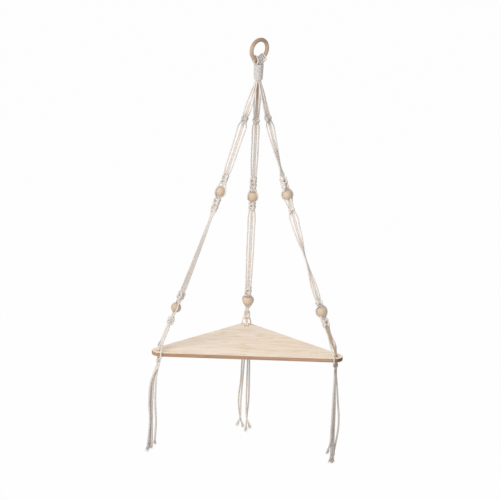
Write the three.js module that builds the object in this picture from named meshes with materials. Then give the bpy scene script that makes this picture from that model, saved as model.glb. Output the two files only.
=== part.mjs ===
// Hanging corner shelf on three knotted cotton arms, with wooden beads, a wooden ring and three tassels.
// Millimetres, +Z up, +Y to the room corner, -Y to the front. The origin is the inner top of the ring,
// where the ring sits on its hook.
import * as THREE from "three";

// Driving sizes
const CORD = 2.8; // diameter of every cord, drawn tight
const GAP = 0.3; // clearance between pieces that touch
const LANE = CORD + GAP; // pitch of cords that lie side by side
const CORD_SIDES = 6;

const RING_OUTSIDE = 48;
const RING_BAR = 8;
const RING_YAW = 40; // degrees: the left side of the ring comes forward
const RING_STEPS = 32;
const RING_SIDES = 10;

const WRAP_CORD = 1.8; // diameter of the thinner cord that gathers the others
const WRAP_TURNS = 14;
const WRAP_PITCH = 2.25;
const WRAP_DROP = 5; // from the underside of the ring to the first turn
const WRAP_TAPER = 1.2; // how far the first turn stands out past the last
const WRAP_STEPS = 20; // a turn
const WRAP_START = 130; // degrees round from the right where its first turn begins

const BOARD_LEG = 300; // each of the two equal edges that meet at the back corner
const BOARD_THICKNESS = 8;
const BOARD_NOSE = 18; // radius of the three rounded corners
const BOARD_ARRIS = 0.8; // small bevel round both faces
const BOARD_DROP = 621; // from the hook seat to the top of the board
const BOARD_CURVE_STEPS = 6;
const BOARD_HOLE = 7.8; // each takes two cords
const BALANCE = 1; // how far the board is set forward so that it hangs level

const FRONT_HOLE_INSET = 42; // from the sharp front corner, along its bisector
const BACK_HOLE_INSET = 24;
const FRONT_GRIP = 43; // from the sharp corner along an edge to the cord that passes it
const BACK_GRIP = 15;
const CORD_RISE = 3; // height at which the cords leave the board straight up or down

const BEAD = 20; // diameter
const BEAD_BORE = 8;
const BEAD_SIDES = 16;
const BEAD_RINGS = 8;
const BEAD_PASS_STEPS = 6; // of a working cord round a bead

const ARM_SAG = 9; // how far the middle of an arm hangs inside its straight line
const LOWER_KNOT_DROP = 12; // from the underside of the board to the middle of the knot
const OPEN_STEP = 45; // longest stretch of open cord between two of its points

// Sizes that follow
const ringMean = (RING_OUTSIDE - RING_BAR) / 2;
const ringCentreZ = RING_BAR - RING_OUTSIDE / 2;
const barZ = ringCentreZ - ringMean; // axis of the lowest stretch of the ring
const wrapTopZ = barZ - RING_BAR / 2 - WRAP_DROP;
const wrapFootZ = wrapTopZ - WRAP_TURNS * WRAP_PITCH - WRAP_CORD;
const seatZ = wrapTopZ - 2 * CORD; // where the loops over the ring end and the arms begin
const boardFrontY = -BOARD_LEG / Math.SQRT2 / 3 - BALANCE;
const boardHalfWidth = BOARD_LEG / Math.SQRT2;
const boardBackY = boardFrontY + boardHalfWidth;
const boardTopZ = -BOARD_DROP;
const boardFootZ = boardTopZ - BOARD_THICKNESS;
const bundleInner = LANE / Math.sqrt(3); // three cords round the axis
const bundleOuter = bundleInner + LANE; // nine cords round those
const wrapRadius = bundleOuter + CORD / 2 + GAP + WRAP_CORD / 2;
const halfWorker = 1.5 * LANE; // from the arm's axis to a working cord in an open stretch
const halfFiller = LANE / 2;

// Knots
// One half knot of the working cord that starts on the left and crosses in front, as shares of the
// lane: across, to the front and down. The other cord's points are these turned half round.
const halfKnotShares = [
  [-1.55, -1.8, -0.85],
  [-1.95, -1.8, 0],
  [-1.95, -0.45, 0.8],
  [-1.05, 1.15, 0.2],
  [1.05, 1.1, -0.2],
  [1.95, -0.6, -0.8],
  [1.9, -1.85, -0.1],
  [1.55, -1.9, 0.85],
];
const halfKnotPitchShare = 2.5; // from one half knot to the next
const knotTopShare = 2.1; // from the middle of the first half knot to the open cord above
const knotFootShare = 2.1; // from the middle of the last half knot to the open cord below

// Arms
// Each station lies at a share of the arm's length. Its roll, in degrees, is how far the row of four
// cords is turned from facing the front. In an open stretch the two outer cords stand off by their
// spread share of what they keep in a knot.
const arms = [
  {
    name: "left",
    outerSeats: { minus: 4, plus_filler: 5, plus: 6 },
    innerSeat: 1,
    neckRoll: 60,
    fillerTurn: 90,
    footRoll: 69,
    lowerKnotHalves: 1,
    stations: [
      { kind: "open", share: 0.104, roll: 25, spreadShare: 1.35 },
      { kind: "knot", share: 0.143, roll: 20, halves: 1 },
      { kind: "open", share: 0.171, roll: 5, spreadShare: 1.65 },
      { kind: "open", share: 0.253, roll: 5, spreadShare: 1.45 },
      { kind: "open", share: 0.33, roll: 8, spreadShare: 1.3 },
      { kind: "knot", share: 0.363, roll: 15, halves: 2 },
      { kind: "bead", share: 0.4135, roll: 5 },
      { kind: "knot", share: 0.458, roll: 20, halves: 3 },
      { kind: "open", share: 0.51, roll: 75, spreadShare: 1 },
      { kind: "open", share: 0.651, roll: 58, spreadShare: 1 },
      { kind: "open", share: 0.766, roll: 40, spreadShare: 1 },
      { kind: "knot", share: 0.801, roll: 50, halves: 2 },
      { kind: "bead", share: 0.846, roll: 78 },
      { kind: "knot", share: 0.895, roll: 80, halves: 2 },
    ],
  },
  {
    name: "back",
    outerSeats: { minus: 3, plus_filler: 2, plus: 1 },
    innerSeat: 0,
    neckRoll: 0,
    fillerTurn: -90,
    footRoll: 0,
    lowerKnotHalves: 1,
    stations: [
      { kind: "open", share: 0.085, roll: 0, spreadShare: 1.25 },
      { kind: "knot", share: 0.163, roll: -20, halves: 1 },
      { kind: "open", share: 0.19, roll: 0, spreadShare: 1.3 },
      { kind: "open", share: 0.315, roll: 0, spreadShare: 1.3 },
      { kind: "knot", share: 0.412, roll: 15, halves: 3 },
      { kind: "bead", share: 0.4677, roll: 20 },
      { kind: "knot", share: 0.507, roll: 25, halves: 2 },
      { kind: "open", share: 0.547, roll: 0, spreadShare: 1.35 },
      { kind: "open", share: 0.69, roll: 5, spreadShare: 1.35 },
      { kind: "open", share: 0.81, roll: 8, spreadShare: 1.1 },
      { kind: "knot", share: 0.857, roll: 15, halves: 2 },
      { kind: "bead", share: 0.9008, roll: 10 },
      { kind: "knot", share: 0.964, roll: 5, halves: 1 },
    ],
  },
  {
    name: "right",
    outerSeats: { minus: 7, plus_filler: 8, plus: 0 },
    innerSeat: 2,
    neckRoll: -60,
    fillerTurn: 90,
    footRoll: -69,
    lowerKnotHalves: 1,
    stations: [
      { kind: "open", share: 0.1, roll: -45, spreadShare: 1.1 },
      { kind: "knot", share: 0.138, roll: -30, halves: 1 },
      { kind: "open", share: 0.168, roll: -5, spreadShare: 1.45 },
      { kind: "open", share: 0.248, roll: -40, spreadShare: 1.2 },
      { kind: "open", share: 0.322, roll: -75, spreadShare: 1 },
      { kind: "knot", share: 0.374, roll: -40, halves: 3 },
      { kind: "bead", share: 0.418, roll: -10 },
      { kind: "knot", share: 0.472, roll: -12, halves: 1 },
      { kind: "open", share: 0.5, roll: 0, spreadShare: 1.6 },
      { kind: "open", share: 0.58, roll: -25, spreadShare: 1.2 },
      { kind: "open", share: 0.638, roll: -80, spreadShare: 1 },
      { kind: "open", share: 0.692, roll: -70, spreadShare: 1 },
      { kind: "open", share: 0.735, roll: -20, spreadShare: 1.05 },
      { kind: "knot", share: 0.811, roll: -30, halves: 1 },
      { kind: "bead", share: 0.8427, roll: -15 },
      { kind: "knot", share: 0.883, roll: -30, halves: 2 },
    ],
  },
];

// Tassel strands: for each, points down, to the right and to the back of where the strand leaves its knot
const tasselRoutes = {
  left: {
    minus: [
      [3, 0, 0], [16, -6, 0], [35, -14.4, 0.3],
      [73, -16.7, 0.5], [114, -13.4, 1.5], [173, -16.3, 1.5],
    ],
    minus_filler: [
      [3, 0, 0], [35, -6.6, 0.6], [73, -8, -1.5],
      [114, -6.8, -2.2], [150, -5.8, -2.5], [168, -6.4, -2.5],
    ],
    plus_filler: [[3, 0, 0], [35, -3.6, 0.3], [73, -3.5, 1], [95, -2, 1], [120, -0.3, 1], [159, -1.2, 1]],
    plus: [
      [3, 0, 0], [35, -8.6, 0.3], [73, -10, -1],
      [114, -8, -2], [150, -7.4, -2.5], [170, -9.3, -2.5],
    ],
  },
  back: {
    minus: [[3, 0, 0], [42, -1, 0], [83, -1.8, 0.5], [125, -4.7, 1.5], [160, -0.3, 1.8], [177, 5.5, 1.8]],
    minus_filler: [
      [3, 0, 0], [42, 0.1, -0.5], [83, -1.4, -1],
      [125, -3.3, -1.8], [158, -3.3, -1.8], [173, -8, -1.8],
    ],
    plus_filler: [
      [3, 0, 0], [42, 3.5, -1.2], [83, 4.1, -1.6],
      [125, 4.6, -1.8], [160, 6.4, -1.8], [178, 13, -1.8],
    ],
    plus: [[3, 0, 0], [42, 4.1, 1.2], [83, 5.4, 1.6], [125, 6, 1.8], [160, 3.7, 1.8], [186, 2.8, 1.8]],
  },
  right: {
    minus: [[3, 0, 0], [40, 3.7, 0.6], [62, 5.5, 0.6], [95, 8.8, 0.6], [122, 8.7, 0.8], [176, 1.3, 1.8]],
    minus_filler: [[3, 0, 0], [40, 0.1, 1], [81, 0.4, 1], [122, -0.1, 1], [186, -0.9, 0.6]],
    plus_filler: [[3, 0, 0], [40, 0.5, 1.3], [81, 1.5, 1.3], [122, 1.4, 1.3], [187, 1.6, 1]],
    plus: [
      [3, 0, 0], [40, -0.4, 0.7], [81, -0.8, 0.7],
      [122, -1.5, 0.7], [148, -2.3, 0.7], [166, -7, 0.5],
    ],
  },
};
const TASSEL_SIDES = 8;
const TASSEL_STEPS = 7;

// Materials
const cotton = new THREE.MeshStandardMaterial({ color: 0xe8e2dc, roughness: 0.95, metalness: 0 });
const boardWood = new THREE.MeshStandardMaterial({ color: 0xe6d3b8, roughness: 0.65, metalness: 0 });
const beadWood = new THREE.MeshStandardMaterial({ color: 0xd8ba8e, roughness: 0.55, metalness: 0 });
const ringWood = new THREE.MeshStandardMaterial({ color: 0xc9ae88, roughness: 0.5, metalness: 0 });

const shelf = new THREE.Group();

function addPiece(name, geometry, material) {
  const mesh = new THREE.Mesh(geometry, material);
  mesh.name = name;
  shelf.add(mesh);
  return mesh;
}

const radians = THREE.MathUtils.degToRad;

// A path whose sections lie at its own points
class PointRoute extends THREE.Curve {
  constructor(points) {
    super();
    this.points = points;
  }

  indexAt(u) {
    return Math.round(u * (this.points.length - 1));
  }

  getPointAt(u) {
    return this.points[this.indexAt(u)].clone();
  }

  getTangentAt(u) {
    const i = this.indexAt(u);
    const before = this.points[Math.max(i - 1, 0)];
    const after = this.points[Math.min(i + 1, this.points.length - 1)];
    return after.clone().sub(before).normalize();
  }
}

function polygon(radius, sides) {
  const corners = [];
  for (let i = 0; i < sides; i++) {
    const angle = (i / sides) * 2 * Math.PI;
    corners.push(new THREE.Vector2(Math.cos(angle) * radius, Math.sin(angle) * radius));
  }
  return new THREE.Shape(corners);
}

function cordAlong(points, sides = CORD_SIDES, diameter = CORD) {
  return new THREE.ExtrudeGeometry(polygon(diameter / 2, sides), {
    steps: points.length - 1,
    extrudePath: new PointRoute(points),
    bevelEnabled: false,
  });
}

// Ring
const yaw = radians(RING_YAW);
const ringAlong = new THREE.Vector3(Math.cos(yaw), Math.sin(yaw), 0);
const ringAcross = new THREE.Vector3(-Math.sin(yaw), Math.cos(yaw), 0);

function buildRing() {
  const torus = new THREE.TorusGeometry(ringMean, RING_BAR / 2, RING_SIDES, RING_STEPS);
  const ring = addPiece("hanging_ring", torus, ringWood);
  ring.rotation.set(Math.PI / 2, 0, yaw, "ZXY");
  ring.position.set(0, 0, ringCentreZ);
}

// Neck: the twelve cords stand in nine outer and three inner seats inside the wrap
const outerSeatStep = 40; // degrees
const outerSeatStart = 10;
const innerSeatStep = 120;
const innerSeatStart = 90;

function seatAt(radius, degrees, z) {
  const angle = radians(degrees);
  return new THREE.Vector3(Math.cos(angle) * radius, Math.sin(angle) * radius, z);
}

function outerSeat(k, z = seatZ) {
  return seatAt(bundleOuter, outerSeatStart + outerSeatStep * k, z);
}

function innerSeat(k, z = seatZ) {
  return seatAt(bundleInner, innerSeatStart + innerSeatStep * k, z);
}

// Six cords fold over the ring, from left to right. Each leg has its seat, and how much of the way to it
// the leg has gone half way down, along the ring's bar and across it.
const loops = [
  { front: [outerSeat(6), 0.1, 0.55], rear: [outerSeat(5), 0.1, 0.55] },
  { front: [innerSeat(1), 0.4, 0.85], rear: [outerSeat(4), 0.4, 0.4] },
  { front: [outerSeat(7), 0.3, 0.4], rear: [outerSeat(3), 0.4, 0.4] },
  { front: [innerSeat(2), 0.75, 0.75], rear: [innerSeat(0), 0.75, 0.75] },
  { front: [outerSeat(8), 0.4, 0.4], rear: [outerSeat(2), 0.4, 0.4] },
  { front: [outerSeat(0), 0.1, 0.55], rear: [outerSeat(1), 0.1, 0.55] },
];
const loopArcSteps = 8;
const loopArcPast = 25; // degrees that the cord goes on round the bar past its widest

// The loop clears the bar, which curves up to both sides, all the way round the axis of its lowest stretch
function loopRadius(along) {
  const rise = ringMean - Math.sqrt(ringMean ** 2 - along ** 2);
  const slopeCosine = Math.sqrt(ringMean ** 2 - along ** 2) / ringMean;
  const clear = rise + RING_BAR / 2 / slopeCosine + GAP + CORD / 2;
  return clear / Math.cos(radians(90 + loopArcPast) / loopArcSteps);
}

function loopPoint(along, across, z) {
  return ringAlong.clone().multiplyScalar(along).addScaledVector(ringAcross, across).setZ(z);
}

function loopLeg(along, side, [seat, alongShare, acrossShare]) {
  const radius = loopRadius(along);
  const angle = radians(-loopArcPast);
  const across = side * radius * Math.cos(angle);
  const startZ = barZ + radius * Math.sin(angle);
  const seatTop = seat.clone().setZ(wrapTopZ - GAP);
  const middle = loopPoint(
    THREE.MathUtils.lerp(along, seatTop.dot(ringAlong), alongShare),
    THREE.MathUtils.lerp(across, seatTop.dot(ringAcross), acrossShare),
    (startZ + seatTop.z) / 2,
  );
  return [middle, seatTop, seat];
}

function buildLoops() {
  loops.forEach((loop, index) => {
    const along = (index - (loops.length - 1) / 2) * LANE;
    const radius = loopRadius(along);
    const points = loopLeg(along, -1, loop.front).reverse();
    for (let i = 0; i <= loopArcSteps; i++) {
      const angle = radians(180 + loopArcPast - ((180 + 2 * loopArcPast) * i) / loopArcSteps);
      points.push(loopPoint(along, radius * Math.cos(angle), barZ + radius * Math.sin(angle)));
    }
    points.push(...loopLeg(along, 1, loop.rear));
    addPiece(`loop_${index + 1}`, cordAlong(points), cotton);
  });
}

// Wrap: one cord wound round the twelve
function buildWrap() {
  const points = [];
  const count = WRAP_TURNS * WRAP_STEPS;
  for (let i = 0; i <= count; i++) {
    const turn = i / WRAP_STEPS;
    const angle = radians(WRAP_START) + turn * 2 * Math.PI;
    const radius = wrapRadius + WRAP_TAPER * (1 - i / count);
    const z = wrapTopZ - turn * WRAP_PITCH;
    points.push(new THREE.Vector3(Math.cos(angle) * radius, Math.sin(angle) * radius, z));
  }
  let least = Infinity;
  for (let i = 0; i < points.length; i++) {
    for (let j = i + WRAP_STEPS / 2; j < points.length; j++) {
      least = Math.min(least, points[i].distanceTo(points[j]) - WRAP_CORD);
    }
  }
  console.log(`wrap: least gap to itself ${least.toFixed(3)} mm`);
  const first = points[0].clone().sub(points[1]).setLength(WRAP_CORD).add(points[0]);
  const last = points.at(-1).clone().sub(points.at(-2)).setLength(WRAP_CORD).add(points.at(-1));
  addPiece("gathering_wrap", cordAlong([first, ...points, last], CORD_SIDES, WRAP_CORD), cotton);
}

// Board
const corners = {
  left: {
    tip: new THREE.Vector2(-boardHalfWidth, boardFrontY),
    plusEdge: [0, -90],
    minusEdge: [45, 135],
    inward: 22.5,
    inset: FRONT_HOLE_INSET,
    grip: FRONT_GRIP,
  },
  back: {
    tip: new THREE.Vector2(0, boardBackY),
    plusEdge: [-45, 45],
    minusEdge: [-135, 135],
    inward: -90,
    inset: BACK_HOLE_INSET,
    grip: BACK_GRIP,
  },
  right: {
    tip: new THREE.Vector2(boardHalfWidth, boardFrontY),
    plusEdge: [135, 45],
    minusEdge: [180, -90],
    inward: 157.5,
    inset: FRONT_HOLE_INSET,
    grip: FRONT_GRIP,
  },
};

function toward(degrees, length) {
  return new THREE.Vector2(Math.cos(radians(degrees)) * length, Math.sin(radians(degrees)) * length);
}

function holeCentre(corner) {
  return corner.tip.clone().add(toward(corner.inward, corner.inset));
}

// Where a cord passes the edge: along it from the sharp corner, then out by its own half and the gap
function edgePoint(corner, [along, out], z) {
  const point = corner.tip.clone();
  point.add(toward(along, corner.grip)).add(toward(out, CORD / 2 + GAP));
  return new THREE.Vector3(point.x, point.y, z);
}

function buildBoard() {
  const outline = new THREE.Shape();
  const order = [corners.left, corners.right, corners.back];
  order.forEach((corner, index) => {
    const before = order[(index + 2) % 3].tip;
    const after = order[(index + 1) % 3].tip;
    const toBefore = before.clone().sub(corner.tip).normalize();
    const toAfter = after.clone().sub(corner.tip).normalize();
    const half = Math.acos(toBefore.dot(toAfter)) / 2;
    const centre = toBefore.clone().add(toAfter).setLength(BOARD_NOSE / Math.sin(half)).add(corner.tip);
    const start = Math.atan2(-toBefore.x, toBefore.y) + Math.PI;
    const turn = Math.PI - 2 * half;
    outline.absarc(centre.x, centre.y, BOARD_NOSE, start, start + turn, false);
  });
  outline.closePath();
  for (const corner of order) {
    const centre = holeCentre(corner);
    const hole = new THREE.Path();
    hole.absarc(centre.x, centre.y, BOARD_HOLE / 2, 0, 2 * Math.PI, true);
    outline.holes.push(hole);
  }
  const slab = new THREE.ExtrudeGeometry(outline, {
    depth: BOARD_THICKNESS - 2 * BOARD_ARRIS,
    bevelThickness: BOARD_ARRIS,
    bevelSize: BOARD_ARRIS,
    bevelOffset: -BOARD_ARRIS,
    bevelSegments: 1,
    curveSegments: BOARD_CURVE_STEPS,
  });
  const board = addPiece("shelf_board", slab, boardWood);
  board.position.z = boardFootZ + BOARD_ARRIS;
}

// Arms: a line from the neck to the hole in the board, which sags inward, then straight down
const vertical = new THREE.Vector3(0, 0, -1);
const neckReach = (bundleInner + bundleOuter) / 2; // from the neck's axis to the middle of an arm's cords
const tangentShare = 1e-4; // of an arm's length, over which its direction is taken

function sectionAt(centre, tangent) {
  const right = new THREE.Vector3(1, 0, 0).addScaledVector(tangent, -tangent.x).normalize();
  const front = tangent.clone().cross(right);
  return { centre, right, front };
}

function armLine(arm) {
  const hole = holeCentre(corners[arm.name]);
  const start = seatAt(neckReach, innerSeatStart + innerSeatStep * arm.innerSeat, wrapFootZ);
  const end = new THREE.Vector3(hole.x, hole.y, boardTopZ + CORD_RISE);
  const inward = new THREE.Vector3(-hole.x, -hole.y, 0).setLength(ARM_SAG);
  const length = start.distanceTo(end);
  function pointAt(share) {
    return start.clone().lerp(end, share).addScaledVector(inward, 4 * share * (1 - share));
  }
  function above(distance) {
    const share = distance / length;
    const tangent = pointAt(share + tangentShare).sub(pointAt(share - tangentShare)).normalize();
    return sectionAt(pointAt(share), tangent);
  }
  function below(depth) {
    return sectionAt(new THREE.Vector3(hole.x, hole.y, boardFootZ - depth), vertical);
  }
  return { length, above, below };
}

// A point of a section, across its row of cords and out of it to the front, with the row turned by roll
function sectionPoint({ centre, right, front }, roll, across, out) {
  const c = Math.cos(radians(roll));
  const s = Math.sin(radians(roll));
  return centre
    .clone()
    .addScaledVector(right, across * c - out * s)
    .addScaledVector(front, across * s + out * c);
}

function knotSpan(halves) {
  const reach = ((halves - 1) / 2) * halfKnotPitchShare;
  return { top: (reach + knotTopShare) * LANE, foot: (reach + knotFootShare) * LANE };
}

// A worker ties from the side it is on (-1 left, 1 right); the front cord's bars show on the front
function tieKnot(line, middle, roll, halves, worker) {
  const points = [];
  const span = knotSpan(halves);
  points.push(sectionPoint(line(middle - span.top), roll, worker.side * halfWorker, 0));
  for (let half = 0; half < halves; half++) {
    const centre = middle + (half - (halves - 1) / 2) * halfKnotPitchShare * LANE;
    for (const [across, out, down] of halfKnotShares) {
      const section = line(centre + down * LANE);
      points.push(sectionPoint(section, roll, -worker.side * across * LANE, worker.face * out * LANE));
    }
    worker.side = -worker.side;
  }
  points.push(sectionPoint(line(middle + span.foot), roll, worker.side * halfWorker, 0));
  return points;
}

// The worker's way round a bead, from knot to knot
function passBead(line, middle, roll, side) {
  const points = [];
  const reach = BEAD / 2 + GAP + CORD / 2;
  const clear = reach / Math.cos(Math.PI / BEAD_PASS_STEPS / 2);
  const widest = Math.acos(halfWorker / clear);
  for (let i = 1; i < BEAD_PASS_STEPS; i++) {
    const angle = -widest + (2 * widest * i) / BEAD_PASS_STEPS;
    const down = Math.sin(angle) * clear;
    points.push(sectionPoint(line(middle + down), roll, side * Math.cos(angle) * clear, 0));
  }
  return points;
}

// What an arm passes, from the top: each place with its distance down the arm
function armPlaces(arm, length) {
  return arm.stations.map((station) => ({
    ...station,
    middle: station.share * length,
    spread: station.spreadShare ?? 1,
  }));
}

// Points of a stretch of open cord between two places, with the turn and the spread shared out evenly
function openStretch(from, to) {
  const steps = Math.ceil((to.at - from.at) / OPEN_STEP);
  const between = [];
  for (let i = 1; i < steps; i++) {
    between.push({
      at: THREE.MathUtils.lerp(from.at, to.at, i / steps),
      roll: THREE.MathUtils.lerp(from.roll, to.roll, i / steps),
      spread: THREE.MathUtils.lerp(from.spread, to.spread, i / steps),
    });
  }
  return between;
}

function reachOf(place) {
  if (place.kind === "knot") return knotSpan(place.halves);
  if (place.kind === "bead") return { top: BEAD / 2, foot: BEAD / 2 };
  return { top: 0, foot: 0 };
}

function buildWorker(arm, line, sign) {
  const role = sign < 0 ? "minus" : "plus";
  const corner = corners[arm.name];
  const worker = { side: sign, face: -sign };
  const seat = arm.outerSeats[role];
  const points = [outerSeat(seat, seatZ - GAP), outerSeat(seat, wrapFootZ)];
  let last = { at: 0, roll: arm.neckRoll, spread: 1 };
  for (const place of armPlaces(arm, line.length)) {
    const reach = reachOf(place);
    const { middle, roll, spread } = place;
    for (const open of openStretch(last, { at: middle - reach.top, roll, spread })) {
      points.push(sectionPoint(line.above(open.at), open.roll, worker.side * halfWorker * open.spread, 0));
    }
    if (place.kind === "knot") {
      points.push(...tieKnot(line.above, middle, roll, place.halves, worker));
    } else if (place.kind === "bead") {
      points.push(...passBead(line.above, middle, roll, worker.side));
    } else {
      points.push(sectionPoint(line.above(middle), roll, worker.side * halfWorker * spread, 0));
    }
    last = { at: middle + reach.foot, roll, spread };
  }
  const edge = worker.side < 0 ? corner.minusEdge : corner.plusEdge;
  points.push(edgePoint(corner, edge, boardTopZ + CORD_RISE));
  points.push(edgePoint(corner, edge, boardFootZ - CORD_RISE));
  const knot = tieKnot(line.below, LOWER_KNOT_DROP, arm.footRoll, arm.lowerKnotHalves, worker);
  points.push(...knot.slice(1));
  const end = knot.at(-1).clone().addScaledVector(vertical, CORD);
  points.push(end);
  addPiece(`${arm.name}_arm_${role}_working_cord`, cordAlong(points), cotton);
  return end;
}

function buildFiller(arm, line, sign) {
  const role = sign < 0 ? "minus" : "plus";
  const top = (z) => (sign < 0 ? innerSeat(arm.innerSeat, z) : outerSeat(arm.outerSeats.plus_filler, z));
  const points = [top(seatZ - GAP), top(wrapFootZ)];
  let last = { at: 0, roll: arm.neckRoll + arm.fillerTurn, spread: 1 };
  for (const place of armPlaces(arm, line.length)) {
    const reach = reachOf(place);
    const { middle, roll, spread } = place;
    for (const open of openStretch(last, { at: middle - reach.top, roll, spread })) {
      points.push(sectionPoint(line.above(open.at), open.roll, sign * halfFiller, 0));
    }
    points.push(sectionPoint(line.above(middle - reach.top), roll, sign * halfFiller, 0));
    if (place.kind !== "open") {
      points.push(sectionPoint(line.above(middle + reach.foot), roll, sign * halfFiller, 0));
    }
    last = { at: middle + reach.foot, roll, spread };
  }
  const drop = LOWER_KNOT_DROP + knotSpan(arm.lowerKnotHalves).foot + CORD;
  const hole = line.below(-BOARD_THICKNESS - CORD_RISE);
  const end = sectionPoint(line.below(drop), arm.footRoll, sign * halfFiller, 0);
  points.push(sectionPoint(hole, arm.footRoll, sign * halfFiller, 0));
  points.push(end);
  addPiece(`${arm.name}_arm_${role}_filler_cord`, cordAlong(points), cotton);
  return end;
}

// Tassels: each strand goes on where a cord leaves the lower knot
function buildTassel(name, start, route) {
  const top = start.clone().addScaledVector(vertical, GAP);
  const points = [top];
  for (const [down, right, back] of route) {
    points.push(new THREE.Vector3(right, back, -down).add(top));
  }
  const curve = new THREE.CatmullRomCurve3(points, false, "centripetal");
  const straight = points[1];
  const sampled = [top, straight];
  const spans = points.length - 1;
  for (let i = 1; i < TASSEL_STEPS; i++) {
    sampled.push(curve.getPoint((1 + ((spans - 1) * i) / (TASSEL_STEPS - 1)) / spans));
  }
  addPiece(name, cordAlong(sampled, TASSEL_SIDES), cotton);
}

// Beads: turned balls with a bore, free to turn on the two middle cords
function buildBead(name, line, middle) {
  const ball = BEAD / 2;
  const start = Math.asin(BEAD_BORE / BEAD);
  const profile = [];
  for (let i = 0; i <= BEAD_RINGS; i++) {
    const angle = start + ((Math.PI - 2 * start) * i) / BEAD_RINGS;
    profile.push(new THREE.Vector2(Math.sin(angle) * ball, -Math.cos(angle) * ball));
  }
  profile.push(profile[0].clone());
  const bead = addPiece(name, new THREE.LatheGeometry(profile, BEAD_SIDES), beadWood);
  const section = line.above(middle);
  const tangent = section.right.clone().cross(section.front);
  bead.position.copy(section.centre);
  bead.quaternion.setFromUnitVectors(new THREE.Vector3(0, 1, 0), tangent);
}

function buildArm(arm) {
  const line = armLine(arm);
  const ends = {
    minus: buildWorker(arm, line, -1),
    plus: buildWorker(arm, line, 1),
    minus_filler: buildFiller(arm, line, -1),
    plus_filler: buildFiller(arm, line, 1),
  };
  for (const [role, end] of Object.entries(ends)) {
    buildTassel(`${arm.name}_tassel_${role}`, end, tasselRoutes[arm.name][role]);
  }
  const beads = arm.stations.filter((station) => station.kind === "bead");
  const names = ["upper", "lower"];
  beads.forEach((station, index) => {
    buildBead(`${arm.name}_${names[index]}_bead`, line, station.share * line.length);
  });
}

buildRing();
buildLoops();
buildWrap();
buildBoard();
arms.forEach(buildArm);

export default shelf;
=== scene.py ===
import itertools
import math

import bpy
import numpy as np
from mathutils import Matrix, Vector


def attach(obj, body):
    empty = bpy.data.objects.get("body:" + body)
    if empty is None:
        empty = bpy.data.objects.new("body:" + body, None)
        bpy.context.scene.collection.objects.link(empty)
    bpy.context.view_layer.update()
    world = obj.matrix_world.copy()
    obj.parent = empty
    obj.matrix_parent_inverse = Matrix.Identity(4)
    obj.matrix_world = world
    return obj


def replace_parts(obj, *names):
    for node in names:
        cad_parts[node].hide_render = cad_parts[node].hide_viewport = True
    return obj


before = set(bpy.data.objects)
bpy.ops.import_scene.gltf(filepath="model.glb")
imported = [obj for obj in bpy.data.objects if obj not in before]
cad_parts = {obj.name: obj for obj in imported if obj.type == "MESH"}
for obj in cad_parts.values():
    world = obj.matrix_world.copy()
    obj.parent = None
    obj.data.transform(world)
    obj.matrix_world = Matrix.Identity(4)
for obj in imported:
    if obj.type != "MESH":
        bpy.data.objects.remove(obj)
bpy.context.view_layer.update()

# Hanging corner shelf: the looks of its cords, wood, beads and ring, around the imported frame.
# The routes are worked out in millimetres, as in the part's source, and the meshes are made in metres.
MM = 0.001
scene = bpy.context.scene

# Camera: the photograph's view, from the front and a little above, through a long lens
PHOTO_SIDE = 500  # pixels
MM_PER_PIXEL = 1.9531
CAMERA_TURN = 1.39  # degrees, to the viewer's left
CAMERA_ELEVATION = 18.13
CAMERA_ROLL = 2.39
CAMERA_DISTANCE = 40.0
LOOK_AT = Vector((-0.0019, 0.0002, -0.4269))
CAMERA_CLIP = (0.1, 200.0)
SENSOR_MM = 36.0


def make_camera():
    turn, lift, roll = (math.radians(a) for a in (CAMERA_TURN, CAMERA_ELEVATION, CAMERA_ROLL))
    level = Vector((math.sin(turn), math.cos(turn), 0.0))
    right = Vector((math.cos(turn), -math.sin(turn), 0.0))
    plumb = Vector((0.0, 0.0, 1.0))
    ahead = level * math.cos(lift) - plumb * math.sin(lift)
    up = level * math.sin(lift) + plumb * math.cos(lift)
    rolled_right = right * math.cos(roll) + up * math.sin(roll)
    rolled_up = up * math.cos(roll) - right * math.sin(roll)
    axes = Matrix((rolled_right, rolled_up, -ahead)).transposed().to_4x4()
    data = bpy.data.cameras.new("camera")
    data.sensor_width = SENSOR_MM
    data.lens = SENSOR_MM * CAMERA_DISTANCE / (PHOTO_SIDE * MM_PER_PIXEL * MM)
    data.clip_start, data.clip_end = CAMERA_CLIP
    camera = bpy.data.objects.new("camera", data)
    scene.collection.objects.link(camera)
    camera.matrix_world = Matrix.Translation(LOOK_AT - ahead * CAMERA_DISTANCE) @ axes
    scene.camera = camera


make_camera()

# Sizes, as in the part's source
CORD = 2.8
GAP = 0.3
LANE = CORD + GAP
RING_OUTSIDE = 48
RING_BAR = 8
RING_YAW = 40  # degrees
WRAP_CORD = 1.8
WRAP_TURNS = 14
WRAP_PITCH = 2.25
WRAP_DROP = 5
WRAP_TAPER = 1.2
WRAP_STEPS = 20  # points in a turn
WRAP_START = 130  # degrees
BOARD_LEG = 300
BOARD_THICKNESS = 8
BOARD_NOSE = 18
BOARD_DROP = 621
BOARD_HOLE = 7.8
BALANCE = 1
FRONT_HOLE_INSET = 42
BACK_HOLE_INSET = 24
FRONT_GRIP = 43
FAR_GRIP = 56
BACK_GRIP = 15
CORD_RISE = 3
BEAD = 20
BEAD_BORE = 8
BEAD_PASS_STEPS = 6
ARM_SAG = 9  # how far an arm bows inward
LOWER_KNOT_DROP = 12
OPEN_STEP = 45  # longest span between two points of an open stretch

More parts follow.
